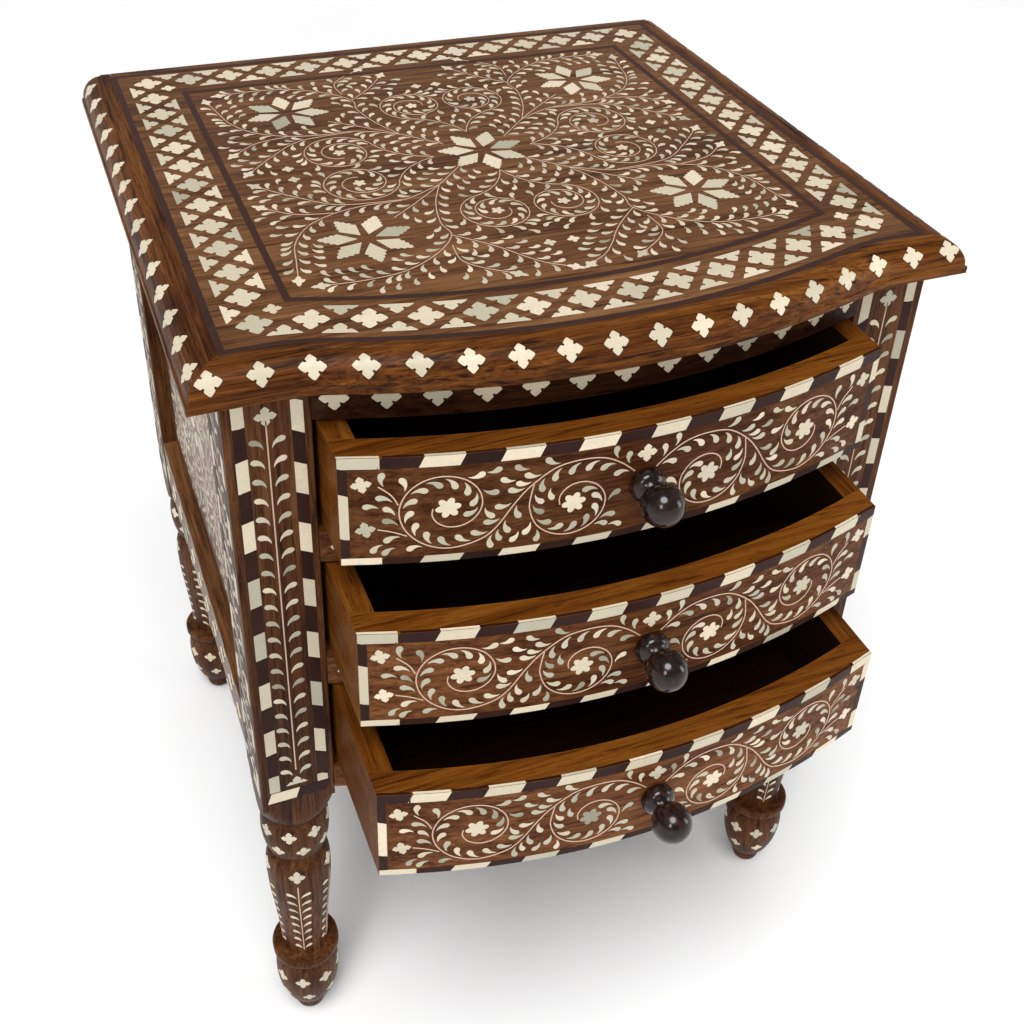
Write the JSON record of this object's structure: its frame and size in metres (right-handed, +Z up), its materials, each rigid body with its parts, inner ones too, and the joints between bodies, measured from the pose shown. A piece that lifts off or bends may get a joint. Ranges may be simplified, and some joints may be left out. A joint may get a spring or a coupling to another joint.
{
  "type": "bow-front inlaid bedside chest",
  "caption": "Small bow-front chest of drawers in dark wood with light and dark inlay, moulded top, round knobs and turned legs.",
  "frame": {"origin": "on the floor, under the middle of the whole chest with its drawers part open", "axes": "+Z up, the drawers open towards -Y, X = 0 is the mirror plane"},
  "size_m": [0.5, 0.5896, 0.648],
  "materials": {
    "case_wood": "polished rosewood, satin lacquer, set with light and dark inlay",
    "drawer_front_wood": "dark polished rosewood with light and dark inlay",
    "drawer_box_wood": "oiled, warm brown",
    "back_wood": "plain dark stain",
    "black_wood": "black lacquered turning, glossy",
    "screw_steel": "plain zinc"
  },
  "bodies": {
    "root": {"top_board": "case_wood", "top_moulding_front": "case_wood", "top_moulding_left": "case_wood", "top_moulding_right": "case_wood", "front_left_leg": "case_wood", "front_right_leg": "case_wood", "back_left_leg": "case_wood", "back_right_leg": "case_wood", "apron_rail": "case_wood", "upper_divider_rail": "case_wood", "lower_divider_rail": "case_wood", "bottom_rail": "case_wood", "left_upper_rail": "case_wood", "left_lower_rail": "case_wood", "right_upper_rail": "case_wood", "right_lower_rail": "case_wood", "left_panel": "case_wood", "right_panel": "case_wood", "back_upper_rail": "back_wood", "back_lower_rail": "back_wood", "back_panel": "back_wood", "runner_1_left": "drawer_box_wood", "runner_1_right": "drawer_box_wood", "runner_2_left": "drawer_box_wood", "runner_2_right": "drawer_box_wood", "runner_3_left": "drawer_box_wood", "runner_3_right": "drawer_box_wood", "kicker_left": "drawer_box_wood", "kicker_right": "drawer_box_wood"},
    "drawer_1": {"drawer_1_front": "drawer_front_wood", "drawer_1_left_side": "drawer_box_wood", "drawer_1_right_side": "drawer_box_wood", "drawer_1_back": "drawer_box_wood", "drawer_1_bottom": "drawer_box_wood", "drawer_1_knob": "black_wood", "drawer_1_knob_screw": "screw_steel"},
    "drawer_2": {"drawer_2_front": "drawer_front_wood", "drawer_2_left_side": "drawer_box_wood", "drawer_2_right_side": "drawer_box_wood", "drawer_2_back": "drawer_box_wood", "drawer_2_bottom": "drawer_box_wood", "drawer_2_knob": "black_wood", "drawer_2_knob_screw": "screw_steel"},
    "drawer_3": {"drawer_3_front": "drawer_front_wood", "drawer_3_left_side": "drawer_box_wood", "drawer_3_right_side": "drawer_box_wood", "drawer_3_back": "drawer_box_wood", "drawer_3_bottom": "drawer_box_wood", "drawer_3_knob": "black_wood", "drawer_3_knob_screw": "screw_steel"}
  },
  "joints": [
    {"name": "drawer_1_slide", "type": "slide", "parent": "root", "child": "drawer_1", "axis": [0, -1, 0], "range_m": [-0.0348, 0.2352]},
    {"name": "drawer_2_slide", "type": "slide", "parent": "root", "child": "drawer_2", "axis": [0, -1, 0], "range_m": [-0.0633, 0.2067]},
    {"name": "drawer_3_slide", "type": "slide", "parent": "root", "child": "drawer_3", "axis": [0, -1, 0], "range_m": [-0.0938, 0.1762]}
  ]
}
